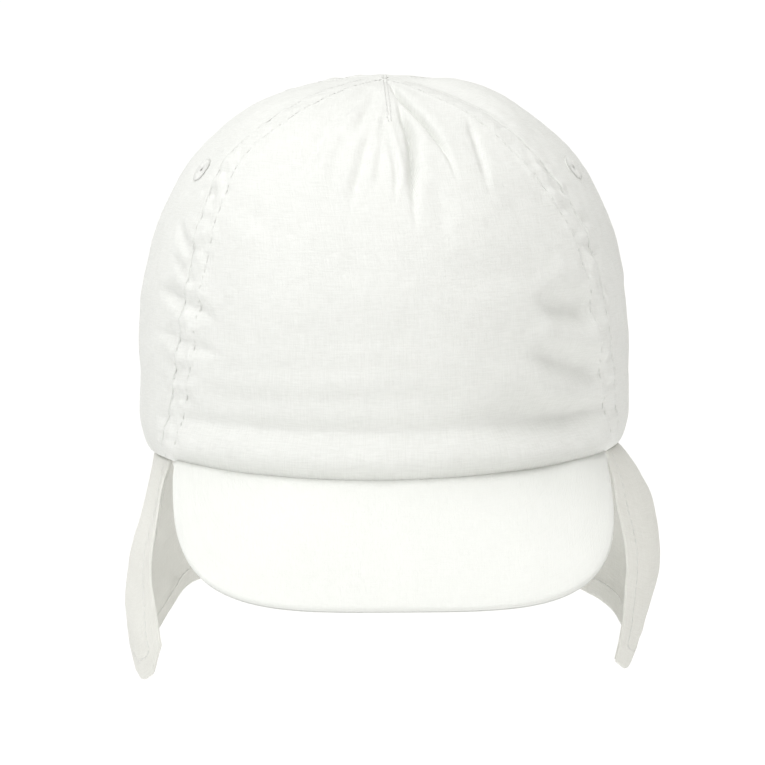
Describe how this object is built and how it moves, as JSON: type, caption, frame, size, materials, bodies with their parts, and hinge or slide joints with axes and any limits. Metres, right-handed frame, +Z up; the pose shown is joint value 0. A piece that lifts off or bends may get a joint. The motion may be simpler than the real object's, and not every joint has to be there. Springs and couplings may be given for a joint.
{
  "type": "legionnaire cap with neck flap",
  "caption": "Child's soft white cotton sun cap: gored crown gathered at the front, short peak, and a neck flap that hangs from the rim round the back and sides.",
  "frame": {"origin": "centre of the head opening, in the plane of the crown's lower seam, where a head holds the cap", "axes": "+Z up through the crown's top, -Y towards the peak, +X towards the wearer's left"},
  "size_m": [0.1663, 0.23, 0.1843],
  "materials": {
    "white_cotton": "plain-woven white cotton, washed, slightly creased",
    "white_thread": "white sewing thread, slight sheen"
  },
  "bodies": {
    "root": {"front_panel": "white_cotton", "side_panel_left": "white_cotton", "side_panel_right": "white_cotton", "back_panel_left": "white_cotton", "back_panel_right": "white_cotton", "eyelet_left": "white_thread", "eyelet_right": "white_thread", "peak_top_cover": "white_cotton", "peak_under_cover": "white_cotton", "neck_flap": "white_cotton"}
  },
  "joints": []
}
